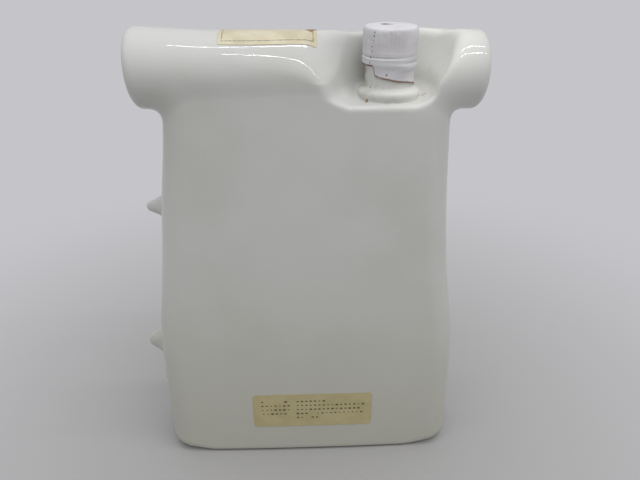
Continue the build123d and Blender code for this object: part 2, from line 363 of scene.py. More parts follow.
    def torso(self, x: Array, y: Array, z: Array) -> Array:
        """Signed distance to the slab-like torso, flared to the foot.

        Args:
            x: Places along X in millimetres.
            y: Places along Y.
            z: Places along Z.

        Returns:
            Signed distances, negative inside.
        """
        half = self.half_width.at(z)
        u = x - self.lean.at(z)
        deep = self.half_depth.at(z) - self.face_crown * np.minimum(np.abs(u / half), 1) ** 2
        side = round_box(u, y, half, deep, self.side_round)
        edge = self.base_edge + (self.foot_corner - self.base_edge) * ease(
            np.abs(u), half - self.corner_start, half - self.corner_end)
        return np.maximum(meet(side, -z, edge), z - self.shoulder - self.torso_overlap)

    def roll(self, x: Array, y: Array, z: Array) -> Array:
        """Signed distance to the shoulder roll with its two sleeve ends.

        Args:
            x: Places along X in millimetres.
            y: Places along Y.
            z: Places along Z.

        Returns:
            Signed distances, negative inside.
        """
        rise = z - self.shoulder - self.roll_rise.at(x)
        tube = oval(y, rise, self.roll_depth, self.roll_height.at(x))
        tilt = math.radians(self.sleeve_tilt)
        lean = rise * math.sin(tilt)
        ends = np.maximum((x - self.reach_left) * math.cos(tilt), (-x - self.reach_right) * math.cos(tilt))
        return meet(tube, ends - lean, self.sleeve_round)

    def recess(self, x: Array, y: Array, z: Array) -> Array:
        """Signed distance to the hollow that is scooped out round the neck.

        Args:
            x: Places along X in millimetres.
            y: Places along Y.
            z: Places along Z.

        Returns:
            Signed distances, negative inside.
        """
        share = (z - self.floor) / self.recess_full
        turn = math.radians(self.recess_turn)
        along, out = x - self.recess_x, y
        u = along * math.cos(turn) + out * math.sin(turn)
        v = out * math.cos(turn) - along * math.sin(turn)
        slant = np.maximum(v - self.flare_start, 0) / self.flare_reach
        left = (self.left_wall.at(share) + self.left_slant * (v - self.slant_from)
                + self.flare.at(share) * slant ** 3)
        right = self.right_wall.at(share)
        back = self.recess_inner - v
        side = np.maximum(meet(u - left, back, self.left_corner), meet(-u - right, back, self.right_corner))
        return meet(side, self.floor - z, self.floor_round)

    def neck(self, x: Array, y: Array, z: Array) -> Array:
        """Signed distance to the collar, its bead, the neck and the lip.

        Args:
            x: Places along X in millimetres.
            y: Places along Y.
            z: Places along Z.

        Returns:
            Signed distances, negative inside.
        """
        out = np.hypot(x - self.neck_x, y - self.neck_y)
        under = self.lip_top - z
        shaft = meet(out - self.neck_radius, -under, self.neck_round)
        collar = meet(out - self.collar_radius, z - self.collar_top, self.collar_round)
        bead = oval(out - self.bead_radius, z - self.bead_middle, *self.bead_half)
        lip = meet(out - self.lip_radius, np.abs(z - self.lip_middle) - self.lip_half, self.lip_round)
        ring = join(join(shaft, collar, self.neck_round), bead, self.neck_fillet)
        return np.maximum(join(ring, lip, self.lip_fillet), self.neck_foot - z)

    def waviness(self, x: Array, y: Array, z: Array) -> Array:
        """The slight unevenness of hand-finished clay.

        Args:
            x: Places along X in millimetres.
            y: Places along Y.
            z: Places along Z.

        Returns:
            Heights between about -1.6 and 1.6.
        """
        total = 0.0
        for size, first, second in self.ripples:
            waves = [np.sin(a * x + b * y + c * z + start) for a, b, c, start in (first, second)]
            total = total + size * waves[0] * waves[1]
        return total

    def outside(self, x: Array, y: Array, z: Array) -> Array:
        """Signed distance to the whole glazed outside.

        Args:
            x: Places along X in millimetres.
            y: Places along Y.
            z: Places along Z.

        Returns:
            Signed distances, negative inside the clay.
        """
        ends = ease(np.abs(x - self.shoulder_middle), *self.shoulder_ends)
        soft = self.shoulder_fillet + self.sleeve_fillet * ends
        form = join(self.torso(x, y, z), self.roll(x, y, z), soft)
        form = join(form, self.neckline.field(x, y, z), self.neckline_fillet)
        for fold in self.folds:
            form = join(form, fold.field(x, y, z), self.fold_fillet)
        for nub in self.nubs:
            form = join(form, nub.field(x, y, z), self.nub_fillet)
        form = form + self.waver * ease(z, *self.waver_rise) * self.waviness(x, y, z)
        scoop = ease(x, *self.scoop_side)
        beside = self.scoop_rim * ease(z, *self.scoop_rise) - self.crest_rim * ease(z, *self.crest_rise)
        behind = self.back_rim * ease(z, *self.back_rise) * ease(y, *self.back_side)
        rim = self.rim + scoop * beside + (1 - scoop) * behind
        facet = self.facet_out * (self.facet_y - y) + self.facet_up * (self.facet_line.at(x) - z)
        form = cut(form, facet + self.facet_clear * (1 - ease(z, *self.facet_rise)), self.facet_rim)
        form = cut(form, self.recess(x, y, z), rim)
        return join(form, self.neck(x, y, z), self.neck_fillet)

    def hollow(self, x: Array, y: Array, z: Array) -> Array:
        """Signed distance to the liquor space, one wall inside the outer form.

        Args:
            x: Places along X in millimetres.
            y: Places along Y.
            z: Places along Z.

        Returns:
            Signed distances, negative inside.
        """
        form = join(self.torso(x, y, z), self.roll(x, y, z), self.hollow_fillet) + self.wall
        form = np.maximum(form, self.wall - self.recess(x, y, z))
        sleeve = np.maximum(x - self.recess_x, self.floor - self.wall - z)
        return np.maximum(np.maximum(form, -sleeve), self.base_wall - z)


def slope_of(form: Field, points: Array, step: float = 0.02) -> Array:
    """Gradient of a field.

    Args:
        form: The field, called with x, y and z.
        points: Places, one row each.
        step: Half the distance between the two readings.

    Returns:
        One gradient for each row.
    """
    columns = []
    for axis in range(3):
        shift = np.zeros(3)
        shift[axis] = step
        ahead, behind = (points + shift).T, (points - shift).T
        columns.append((form(*ahead) - form(*behind)) / (2 * step))
    return np.stack(columns, 1)


def settle(form: Field, points: Array, rounds: int = 5, reach: float = 0.8) -> Array:
    """Moves points onto the zero surface of a field.

    Args:
        form: The field.
        points: Places near its surface.
        rounds: How often they are moved.
        reach: The longest single move.

    Returns:
        The settled places.
    """
    for _ in range(rounds):
        slope = slope_of(form, points)
        move = slope * (form(*points.T) / np.maximum((slope ** 2).sum(1), LEAST_SLOPE))[:, None]
        far = np.linalg.norm(move, axis=1, keepdims=True)
        points = points - move * np.minimum(1, reach / np.maximum(far, TINY))
    return points


def net(form: Field, lines: tuple[Array, Array, Array]) -> tuple[Array, Array]:
    """Wraps the zero surface of a field in quads.

    Args:
        form: The field.
        lines: Grid lines along X, Y and Z.

    Returns:
        Vertices and the quads between them, facing outwards.
    """
    grid = np.ix_(*lines)
    level = form(*grid)
    inside = level < 0
    cells = tuple(len(line) - 1 for line in lines)
    total, count = np.zeros(cells + (3,)), np.zeros(cells)
    for axis in range(3):
        low = [slice(None)] * 3
        high = [slice(None)] * 3
        low[axis], high[axis] = slice(None, -1), slice(1, None)
        a, b = level[tuple(low)], level[tuple(high)]
        crossed = (a < 0) != (b < 0)
        share = np.where(crossed, a / np.where(crossed, a - b, 1), 0)
        place = [np.broadcast_to(g, level.shape)[tuple(low)] for g in grid]
        span = np.diff(lines[axis]).reshape([-1 if i == axis else 1 for i in range(3)])
        place[axis] = place[axis] + share * span
        others = [i for i in range(3) if i != axis]
        for first in (0, 1):
            for second in (0, 1):
                pick = [slice(None)] * 3
                pick[others[0]] = slice(first, first - 1 or None)
                pick[others[1]] = slice(second, second - 1 or None)
                here = crossed[tuple(pick)]
                count += here
                for i in range(3):
                    total[..., i] += np.where(here, place[i][tuple(pick)], 0)
    used = count > 0
    number = np.full(cells, -1)
    number[used] = np.arange(used.sum())
    vertices = total[used] / count[used][:, None]
    quads = []
    for axis in range(3):
        b, c = (axis + 1) % 3, (axis + 2) % 3
        low = [slice(1, -1)] * 3
        high = [slice(1, -1)] * 3
        low[axis], high[axis] = slice(None, -1), slice(1, None)
        starts, ends = inside[tuple(low)], inside[tuple(high)]
        for facing in (True, False):
            at = np.argwhere((starts != ends) & (starts == facing))
            at[:, b] += 1
            at[:, c] += 1
            corners = []
            for back_b, back_c in ((1, 1), (0, 1), (0, 0), (1, 0)):
                cell = at.copy()
                cell[:, b] -= back_b
                cell[:, c] -= back_c
                corners.append(number[tuple(cell.T)])
            quads.append(np.stack(corners if facing else corners[::-1], 1))
    return vertices, np.concatenate(quads)


def lines_between(*stops: float) -> Array:
    """Grid lines over several stretches.

    Args:
        stops: Start, spacing, next stop, spacing, and so on, ending with a stop.

    Returns:
        The lines' places, rising.
    """
    places = [stops[0]]
    for spacing, stop in zip(stops[1::2], stops[2::2]):
        steps = max(1, round((stop - places[-1]) / spacing))
        places.extend(np.linspace(places[-1], stop, steps + 1)[1:])
    return np.array(places, float)


# Meshes


def new_piece(name: str, vertices: Array, faces: Array | list) -> bpy.types.Object:
    """Makes a piece whose place is in its mesh.

    Args:
        name: Name of the piece.
        vertices: Places in millimetres.
        faces: Vertex numbers of each face.

    Returns:
        The new object, at the origin.
    """
    mesh = bpy.data.meshes.new(name)
    mesh.from_pydata((np.asarray(vertices, float) * MM).tolist(), [], [list(map(int, f)) for f in faces])
    mesh.validate()
    mesh.polygons.foreach_set("use_smooth", [True] * len(mesh.polygons))
    made = bpy.data.objects.new(name, mesh)
    bpy.context.scene.collection.objects.link(made)
    return made


def bake_modifiers(piece: bpy.types.Object) -> None:
    """Turns a piece and its live modifiers into one plain mesh.

    Args:
        piece: The piece, which loses its modifiers.
    """
    depsgraph = bpy.context.evaluated_depsgraph_get()
    plain = bpy.data.meshes.new_from_object(piece.evaluated_get(depsgraph), depsgraph=depsgraph)
    plain.name = piece.name
    piece.modifiers.clear()
    piece.data = plain


def carve(piece: bpy.types.Object, tool: bpy.types.Object) -> None:
    """Takes the tool's shape away from a piece and deletes the tool.

    Args:
        piece: The piece that is carved.
        tool: A closed shape.
    """
    modifier = piece.modifiers.new("carve", "BOOLEAN")
    modifier.operation, modifier.solver, modifier.object = "DIFFERENCE", "MANIFOLD", tool
    bake_modifiers(piece)
    bpy.data.objects.remove(tool)


def open_edges(mesh: bpy.types.Mesh) -> int:
    """Counts the edges that don't have exactly two faces.

    Args:
        mesh: The mesh to look at.

    Returns:
        Their number, 0 for a closed mesh.
    """
    work = bmesh.new()
    work.from_mesh(mesh)
    found = sum(not edge.is_manifold for edge in work.edges)
    work.free()
    return found


def face_out(piece: bpy.types.Object) -> None:
    """Makes the faces of a closed piece agree and point outwards.

    Args:
        piece: The piece whose faces are turned.
    """
    work = bmesh.new()
    work.from_mesh(piece.data)
    bmesh.ops.recalc_face_normals(work, faces=work.faces[:])
    if work.calc_volume(signed=True) < 0:
        bmesh.ops.reverse_faces(work, faces=work.faces[:])
    work.to_mesh(piece.data)
    work.free()


def write_uv(piece: bpy.types.Object, u: Array, v: Array) -> None:
    """Writes a UV map.

    Args:
        piece: The piece that gets it.
        u: First value for each vertex.
        v: Second value for each vertex.
    """
    mesh = piece.data
    corner = np.zeros(len(mesh.loops), int)
    mesh.loops.foreach_get("vertex_index", corner)
    layer = mesh.uv_layers.new(name="UVMap")
    layer.data.foreach_set("uv", np.stack([u[corner], v[corner]], 1).ravel())


def write_share(piece: bpy.types.Object, name: str, values: Array) -> None:
    """Writes one float attribute for each vertex."""
    attribute = piece.data.attributes.new(name, "FLOAT", "POINT")
    attribute.data.foreach_set("value", np.asarray(values, np.float32))


def report(piece: bpy.types.Object) -> None:
    """Logs the size of a finished piece and whether it is closed."""
    log.info("%s: %d faces, %d open edges", piece.name, len(piece.data.polygons), open_edges(piece.data))


def shell(rows: Array) -> tuple[Array, list]:
    """Closes a ring of cross sections into a solid skin.

    Args:
        rows: Places as (stations round, points of the closed cross section, 3).

    Returns:
        Vertices and quads of the closed skin.
    """
    turns, points, _ = rows.shape
    faces = []
    for i in range(turns):
        j = (i + 1) % turns
        for k in range(points):
            m = (k + 1) % points
            faces.append((i * points + k, i * points + m, j * points + m, j * points + k))
    return rows.reshape(-1, 3), faces


# Node trees


def add(tree: Tree, kind: str, inputs: dict | None = None, **settings: object) -> bpy.types.Node:
    """Adds a node and fills its sockets.

    Args:
        tree: The node tree.
        kind: The node's type.
        inputs: Values or sockets by the input's name or number.
        settings: Properties of the node.

    Returns:
        The new node.
    """
    node = tree.nodes.new(kind)
    for name, value in settings.items():
        setattr(node, name, value)
    for name, value in (inputs or {}).items():
        if isinstance(value, Socket):
            tree.links.new(value, node.inputs[name])
        else:
            node.inputs[name].default_value = value
    return node


def reckon(tree: Tree, operation: str, *values: Socket | float) -> Socket:
    """Adds a Math node and returns its output."""
    return add(tree, "ShaderNodeMath", dict(enumerate(values)), operation=operation).outputs[0]


def times(tree: Tree, *values: Socket | float) -> Socket:
    """Multiplies two or more numbers.

    Args:
        tree: The node tree.
        values: Sockets or numbers.

    Returns:
        Their product.
    """
    product = values[0]
    for value in values[1:]:
        product = reckon(tree, "MULTIPLY", product, value)
    return product


def vector(tree: Tree, operation: str, first: Socket, second: Socket | Place | None = None) -> bpy.types.Node:
    """Adds a Vector Math node and returns it."""
    return add(tree, "ShaderNodeVectorMath", {0: first} if second is None else {0: first, 1: second},
               operation=operation)


def ramp(tree: Tree, value: Socket, low: Socket | float, high: Socket | float) -> Socket:
    """Maps low to 0 and high to 1, smoothly and clamped; low may be above high."""
    names = {"Value": value, "From Min": low, "From Max": high}
    return add(tree, "ShaderNodeMapRange", names, interpolation_type="SMOOTHSTEP").outputs["Result"]


def noise(tree: Tree, place: Socket, scale: float, detail: float = 2.0, rough: float = 0.5) -> Socket:
    """Adds a noise texture and returns its value."""
    names = {"Vector": place, "Scale": scale, "Detail": detail, "Roughness": rough}
    return add(tree, "ShaderNodeTexNoise", names).outputs["Fac"]


def blend(tree: Tree, amount: Socket | float, first: Socket | Colour, second: Socket | Colour) -> Socket:
    """Mixes two colours.

    Args:
        tree: The node tree.
        amount: Share of the second colour.
        first: First colour.
        second: Second colour.

    Returns:
        The mixed colour.
    """
    node = add(tree, "ShaderNodeMix", data_type="RGBA")
    for number, value in ((0, amount), (6, first), (7, second)):
        if isinstance(value, Socket):
            tree.links.new(value, node.inputs[number])
        else:
            node.inputs[number].default_value = value if number == 0 else (*value, 1.0)
    return node.outputs[2]


def axes_of(tree: Tree, place: Socket) -> tuple[Socket, Socket, Socket]:
    """Splits a vector into its three numbers."""
    parts = add(tree, "ShaderNodeSeparateXYZ", {"Vector": place}).outputs
    return parts["X"], parts["Y"], parts["Z"]


def name_sockets(tree: Tree, given: dict[str, str], made: str) -> None:
    """Names the inputs of a Geometry Nodes tree and its output.

    Args:
        tree: The node tree.
        given: Kind of each input by its name.
        made: Name of the geometry that comes out.
    """
    for name, kind in given.items():
        tree.interface.new_socket(name, in_out="INPUT", socket_type=f"NodeSocket{kind}")
    tree.interface.new_socket(made, in_out="OUTPUT", socket_type="NodeSocketGeometry")


def end_tree(tree: Tree, geometry: Socket, finish: Socket, made: str) -> None:
    """Ends a Geometry Nodes tree with real meshes and their material.

    Args:
        tree: The node tree.
        geometry: What it has made.
        finish: The material's socket.
        made: Name of the geometry that comes out.
    """
    real = add(tree, "GeometryNodeRealizeInstances", {"Geometry": geometry}).outputs[0]
    dressed = add(tree, "GeometryNodeSetMaterial", {"Geometry": real, "Material": finish}).outputs[0]
    add(tree, "NodeGroupOutput", {made: dressed})


def run_tree(piece: bpy.types.Object, tree: Tree, sizes: dict) -> None:
    """Runs a Geometry Nodes tree on a piece and keeps its result as a plain mesh.

    Args:
        piece: The piece that carries the modifier.
        tree: The node tree.
        sizes: Values by the name of the tree's inputs.
    """
    modifier = piece.modifiers.new(tree.name, "NODES")
    modifier.node_group = tree
    for item in tree.interface.items_tree:
        if item.in_out == "INPUT" and item.name in sizes:
            modifier[item.identifier] = sizes[item.name]
    bake_modifiers(piece)


# Finishes


@dataclass(frozen=True)
class Spot:
    """A soft round spot in space, in millimetres, and the tone it gives."""

    centre: Place
    core: float
    edge: float
    share: float = 1.0
    tone: Colour = (0.0, 0.0, 0.0)

    def cover(self, tree: Tree, place: Socket) -> Socket:
        """Measures how much of the spot covers a place.

        Args:
            tree: The node tree.
            place: Object coordinates in metres.

        Returns:
            A socket that is 1 in the core and 0 outside.
        """
        middle = tuple(value * MM for value in self.centre)
        far = vector(tree, "DISTANCE", place, middle).outputs["Value"]
        return ramp(tree, far, self.edge * MM, self.core * MM)


@dataclass(frozen=True)
class Finish:
    """A procedural surface: what every finish shares."""

    name: str
    roughness: float = 0.5

    def make(self) -> bpy.types.Material:
        """Builds the material.

        Returns:
            The new material.
        """
        material = bpy.data.materials.new(self.name)
        material.use_nodes = True
        tree = material.node_tree
        shader = tree.nodes["Principled BSDF"]
        place = add(tree, "ShaderNodeTexCoord").outputs["Object"]
        self.dress(tree, shader, place)
        return material

    def dress(self, tree: Tree, shader: bpy.types.Node, place: Socket) -> None:
        """Fills the shader; each finish has its own."""
        raise NotImplementedError

    @staticmethod
    def paint(tree: Tree, shader: bpy.types.Node, colour: Socket, roughness: Socket) -> None:
        """Joins a colour and a roughness to the shader."""
        tree.links.new(colour, shader.inputs["Base Color"])
        tree.links.new(roughness, shader.inputs["Roughness"])

    @staticmethod
    def relief(tree: Tree, shader: bpy.types.Node, height: Socket, depth: float) -> None:
        """Gives the shader a bump of that depth in millimetres."""
        names = {"Height": height, "Distance": depth * MM, "Strength": 1.0}
        tree.links.new(add(tree, "ShaderNodeBump", names).outputs["Normal"], shader.inputs["Normal"])


@dataclass(frozen=True)
class GlazeFinish(Finish):
    """Ivory glaze with a faint olive cast, painted shade towards the foot, stains at the neck, a painted pool
    of light in the recess, fine specks and a bare foot ring.
    """

    ivory: Colour = (0.665, 0.668, 0.650)
    olive: Colour = (0.515, 0.515, 0.440)
    stain: Colour = (0.40, 0.33, 0.16)
    speck: Colour = (0.16, 0.11, 0.06)
    bare: Colour = (0.52, 0.46, 0.38)
    clouds: float = 0.35
    # Painted shade towards the foot: how strong it is and the height where it starts.
    foot_shade: float = 0.85
    foot_shade_top: float = 150.0
    collar: Spot = Spot((-38.0, 1.0, 192.5), 12.0, 16.5)
    collar_share: float = 0.50
    speck_share: float = 0.7
    bare_rise: Span = (0.9, 0.5)
    bare_roughness: float = 0.55
    index: float = 1.5
    stains_and_painted_light: tuple[Spot, ...] = (
        # Painted light: this first spot is a pale pool of light on the recess's right wall; the spots after
        # it are stains.
        Spot((-54.0, 3.0, 212.0), 12.0, 31.0, 0.8, (0.86, 0.86, 0.82)),
        Spot((-27.4, 9.8, 195.2), 0.5, 1.2, 0.9, (0.27, 0.14, 0.03)),
        Spot((-27.6, 2.5, 206.8), 0.6, 1.9, 0.8, (0.36, 0.32, 0.10)),
        Spot((-27.9, 3.5, 201.5), 0.4, 3.0, 0.35, (0.40, 0.36, 0.16)),
        Spot((-29.2, 7.2, 200.4), 0.2, 0.6, 0.7, (0.30, 0.22, 0.10)),
        Spot((-53.5, 3.5, 195.5), 0.6, 2.6, 0.45, (0.46, 0.40, 0.16)),
    )

    def dress(self, tree: Tree, shader: bpy.types.Node, place: Socket) -> None:
        """Fills the shader with the glaze.

        Args:
            tree: The material's node tree.
            shader: Its Principled shader.
            place: Object coordinates in metres.
        """
        _, _, z = axes_of(tree, place)
        broad = ramp(tree, noise(tree, place, 14.0, 3.0, 0.55), 0.38, 0.68)
        colour = blend(tree, times(tree, broad, self.clouds), self.ivory, self.olive)
        # Painted shade: the glaze turns darker and more olive towards the foot.
        low = ramp(tree, z, self.foot_shade_top * MM, 0.0)
        colour = blend(tree, times(tree, low, self.foot_shade), colour, self.olive)
        broken = ramp(tree, noise(tree, place, 260.0, 4.0, 0.6), 0.42, 0.70)
        stained = times(tree, self.collar.cover(tree, place), broken, self.collar_share)
        colour = blend(tree, stained, colour, self.stain)
        # Stains, and the one painted pool of light in the recess.
        for spot in self.stains_and_painted_light:
            colour = blend(tree, times(tree, spot.cover(tree, place), spot.share), colour, spot.tone)
        cells = add(tree, "ShaderNodeTexVoronoi", {"Vector": place, "Scale": 130.0})
        dot = ramp(tree, cells.outputs["Distance"], 0.045, 0.025)
        rare = ramp(tree, noise(tree, place, 40.0, 1.0), 0.60, 0.64)
        colour = blend(tree, times(tree, dot, rare, self.speck_share), colour, self.speck)
        foot = ramp(tree, z, self.bare_rise[0] * MM, self.bare_rise[1] * MM)
        colour = blend(tree, foot, colour, self.bare)
        fine = noise(tree, place, 900.0, 3.0, 0.6)
        sheen = reckon(tree, "MULTIPLY_ADD", fine, 0.03, self.roughness - 0.015)
        sheen = reckon(tree, "MULTIPLY_ADD", foot, self.bare_roughness, sheen)
        self.paint(tree, shader, colour, sheen)
        shader.inputs["IOR"].default_value = self.index
        self.relief(tree, shader, noise(tree, place, 110.0, 2.0, 0.5), 0.006)


@dataclass(frozen=True)
class FilmFinish(Finish):
    """White shrink film: satin, faintly veined, with grime and a painted shadow along its torn edge."""

    white: Colour = (0.75, 0.74, 0.77)
    shade: Colour = (0.63, 0.61, 0.63)
    # Grime for the marks, and along the torn edge also painted shadow.
    grime_and_shadow: Colour = (0.17, 0.075, 0.02)
    top_mark: Spot = Spot((-36.5, -2.5, 225.0), 0.8, 4.0)
    front_spot: Spot = Spot((-35.4, 11.9, 206.3), 0.25, 0.75)

    def dress(self, tree: Tree, shader: bpy.types.Node, place: Socket) -> None:
        """Fills the shader with the film.

        Args:
            tree: The material's node tree.
            shader: Its Principled shader.
            place: Object coordinates in metres.
        """
        broad = noise(tree, place, 90.0, 4.0, 0.6)
        colour = blend(tree, ramp(tree, broad, 0.40, 0.75), self.white, self.shade)
        # The dark line along the torn edge is grime and painted shadow, where the lifted edge stands off the
        # neck.
        torn = add(tree, "ShaderNodeAttribute", attribute_name="torn").outputs["Fac"]
        dirty = ramp(tree, noise(tree, place, 420.0, 3.0, 0.6), 0.30, 0.62)
        edge_grime_and_shadow = times(tree, torn, reckon(tree, "MULTIPLY_ADD", dirty, 0.35, 0.65))
        marked = times(tree, self.top_mark.cover(tree, place), dirty)
        for covered in (edge_grime_and_shadow, self.front_spot.cover(tree, place), marked):
            colour = blend(tree, covered, colour, self.grime_and_shadow)
        fine = noise(tree, place, 1500.0, 2.0)
        self.paint(tree, shader, colour, reckon(tree, "MULTIPLY_ADD", fine, 0.15, self.roughness))
        self.relief(tree, shader, fine, 0.02)


@dataclass(frozen=True)
class PlainFinish(Finish):
    """A lightly mottled plain surface: cap plastic, ink or the inside of a tear hole."""

    base: Colour = (0.5, 0.5, 0.5)
    other: Colour = (0.45, 0.45, 0.45)
    grain: float = 300.0
    depth: float = 0.01

    def dress(self, tree: Tree, shader: bpy.types.Node, place: Socket) -> None:
        """Fills the shader with two close tones and a fine grain.

        Args:
            tree: The material's node tree.
            shader: Its Principled shader.
            place: Object coordinates in metres.
        """
        mottle = noise(tree, place, self.grain, 3.0, 0.6)
        colour = blend(tree, ramp(tree, mottle, 0.35, 0.70), self.base, self.other)
        self.paint(tree, shader, colour, reckon(tree, "MULTIPLY_ADD", mottle, 0.12, self.roughness))
        self.relief(tree, shader, mottle, self.depth)


@dataclass(frozen=True)
class FloorFinish(Finish):
    """A plain pale floor that stays pale towards the back of the view; places in metres."""

    near: Colour = (0.5, 0.5, 0.5)
    far: Colour = (0.5, 0.5, 0.5)
    start: float = 0.02
    stop: float = 0.42

    def dress(self, tree: Tree, shader: bpy.types.Node, place: Socket) -> None:
        """Fills the shader and mixes in the far tone, which only the camera and reflections see.

        Args:
            tree: The material's node tree.
            shader: Its Principled shader.
            place: Object coordinates in metres.
        """
        shader.inputs["Base Color"].default_value = (*self.near, 1.0)
        shader.inputs["Roughness"].default_value = self.roughness
        far = vector(tree, "LENGTH", place).outputs["Value"]
        path = add(tree, "ShaderNodeLightPath").outputs
        seen = reckon(tree, "MAXIMUM", path["Is Camera Ray"], path["Is Glossy Ray"])
        share = times(tree, ramp(tree, far, self.start, self.stop), seen)
        tone = add(tree, "ShaderNodeEmission", {"Color": (*self.far, 1.0), "Strength": 1.0}).outputs[0]
        mixed = add(tree, "ShaderNodeMixShader", {0: share, 1: shader.outputs[0], 2: tone}).outputs[0]
        tree.links.new(mixed, tree.nodes["Material Output"].inputs["Surface"])


@dataclass(frozen=True)
class CorkFinish(Finish):
    """Natural cork with growth bands and dark pores."""

    light: Colour = (0.50, 0.32, 0.17)
    dark: Colour = (0.30, 0.17, 0.08)
    pore: Colour = (0.07, 0.04, 0.02)

    def dress(self, tree: Tree, shader: bpy.types.Node, place: Socket) -> None:
        """Fills the shader with the cork.

        Args:
            tree: The material's node tree.
            shader: Its Principled shader.
            place: Object coordinates in metres.
        """
        stretched = add(tree, "ShaderNodeMapping", {"Vector": place, "Scale": (1.0, 1.0, 0.45)}).outputs[0]
        grain = noise(tree, stretched, 700.0, 5.0, 0.7)
        colour = blend(tree, ramp(tree, grain, 0.35, 0.70), self.light, self.dark)
        cells = add(tree, "ShaderNodeTexVoronoi", {"Vector": stretched, "Scale": 620.0})
        pores = times(tree, ramp(tree, cells.outputs["Distance"], 0.30, 0.16),
                      ramp(tree, noise(tree, place, 380.0, 2.0), 0.50, 0.58))
        colour = blend(tree, pores, colour, self.pore)
        self.paint(tree, shader, colour, reckon(tree, "MULTIPLY_ADD", grain, 0.1, self.roughness))
        self.relief(tree, shader, reckon(tree, "SUBTRACT", grain, pores), 0.12)


@dataclass(frozen=True)
class PaperFinish(Finish):
    """Label paper, with an optional printed border line; its UV map is in millimetres."""

    paper: Colour = (0.62, 0.56, 0.44)
    aged: Colour = (0.52, 0.46, 0.34)
    ink: Colour = (0.10, 0.08, 0.05)
    size: Span = (41.0, 20.0)
    brown_patch: Colour = (0.22, 0.10, 0.02)
    brown_patch_place: Span = (-18.0, 1.2)
    brown_patch_size: Span = (3.4, 2.2)
    border: float = 0.0
    line: float = 0.16
    tooth: float = 0.45
    coat: float = 0.0
    coat_roughness: float = 0.16

    def dress(self, tree: Tree, shader: bpy.types.Node, place: Socket) -> None:
        """Fills the shader with fibres, ageing and the border line.

        Args:
            tree: The material's node tree.
            shader: Its Principled shader.
            place: Object coordinates in metres; not used here.
        """
        flat = add(tree, "ShaderNodeUVMap", uv_map="UVMap").outputs["UV"]
        u, v, _ = axes_of(tree, flat)
        fibre = noise(tree, flat, 1.4, 5.0, 0.65)
        colour = blend(tree, ramp(tree, noise(tree, flat, 0.09, 3.0), 0.35, 0.7), self.paper, self.aged)
        edge = reckon(tree, "MINIMUM", *(
            reckon(tree, "SUBTRACT", size / 2, reckon(tree, "ABSOLUTE", along))
            for along, size in zip((u, v), self.size)))
        colour = blend(tree, times(tree, ramp(tree, edge, 0.9, 0.0), 0.5), colour, self.aged)
        if self.border:
            teeth = reckon(tree, "PINGPONG", reckon(tree, "ADD", u, v), self.tooth)
            toothed = reckon(tree, "ADD", edge, times(tree, teeth, 0.5))
            off = reckon(tree, "ABSOLUTE", reckon(tree, "SUBTRACT", toothed, self.border))
            printed = reckon(tree, "LESS_THAN", off, self.line)
            worn_ink = ramp(tree, noise(tree, flat, 1.1, 2.0), 0.28, 0.62)
            colour = blend(tree, times(tree, printed, worn_ink), colour, self.ink)
            # A brown diamond-shaped patch near one end of the strip.
            brown_patch_reach = reckon(tree, "ADD", *(
                reckon(tree, "ABSOLUTE", reckon(tree, "SUBTRACT", along, middle))
                for along, middle in zip((u, v), self.brown_patch_place)))
            colour = blend(tree, ramp(tree, brown_patch_reach, *self.brown_patch_size), colour, self.brown_patch)
        self.paint(tree, shader, colour, reckon(tree, "MULTIPLY_ADD", fibre, 0.14, self.roughness))
        shader.inputs["Coat Weight"].default_value = self.coat
        shader.inputs["Coat Roughness"].default_value = self.coat_roughness
        self.relief(tree, shader, fibre, 0.02)


# Sub-assemblies


@dataclass
class GlazedVessel:
    """The glazed vessel: one fired piece, hollow through to the bore."""

    form: VesselForm = field(default_factory=VesselForm)
    glaze: GlazeFinish = GlazeFinish("ivory_glaze", roughness=0.055)
    bore_sides: int = 96
    bore_ends: Span = (180.0, 216.0)
    fine_lines: tuple[tuple[float, ...], ...] = (
        (-82, 1.5, -60, 0.72, 34, 2.2, 60, 1.25, 90),
        (-27, 1.0, -12, 1.0, 4, 0.8, 21),
        (-1.5, 1.0, 12, 3.0, 40, 1.4, 78, 3.0, 127, 1.3, 152, 3.0, 186, 0.62, 227),
    )
    coarse_lines: tuple[tuple[float, ...], ...] = ((-78, 3.0, 74), (-19, 2.4, 19), (3, 3.0, 225))

    def build(self) -> bpy.types.Object:
        """Builds the vessel, dresses it and puts it on its body.

        Returns:
            The glazed body.
        """
        piece = self.wrap("glazed_body", self.form.outside, self.fine_lines)
        carve(piece, self.wrap("hollow_tool", self.form.hollow, self.coarse_lines))
        carve(piece, self.bore_tool())
        piece.data.set_sharp_from_angle(angle=SHARP_EDGE)
        piece.data.materials.clear()
        piece.data.materials.append(self.glaze.make())
        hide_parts("decanter_body")
        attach(piece, Body.VESSEL.value)
        report(piece)
        return piece

    @staticmethod
    def wrap(name: str, shape: Field, stops: tuple[tuple[float, ...], ...]) -> bpy.types.Object:
        """Wraps the surface of a field in a closed mesh.

        Args:
            name: Name of the new piece.
            shape: The field.
            stops: Stops and spacings of the grid lines along X, Y and Z.

        Returns:
            The new piece.
        """
        vertices, quads = net(shape, tuple(lines_between(*row) for row in stops))
        return new_piece(name, settle(shape, vertices), quads)

    def bore_tool(self) -> bpy.types.Object:
        """Makes the cylinder that opens the neck into the hollow.

        Returns:
            The closed tool, which is deleted once it has carved.
        """
        angles = np.linspace(0, 2 * math.pi, self.bore_sides, endpoint=False)
        ring = np.stack([self.form.neck_x + self.form.bore * np.cos(angles),
                         self.form.neck_y + self.form.bore * np.sin(angles)], 1)
        rows = [np.column_stack([ring, np.full(len(ring), z)]) for z in self.bore_ends]
        count = self.bore_sides
        faces = [(i, (i + 1) % count, count + (i + 1) % count, count + i) for i in range(count)]
        faces += [tuple(range(count))[::-1], tuple(range(count, 2 * count))]
        return new_piece("bore_tool", np.concatenate(rows), faces)


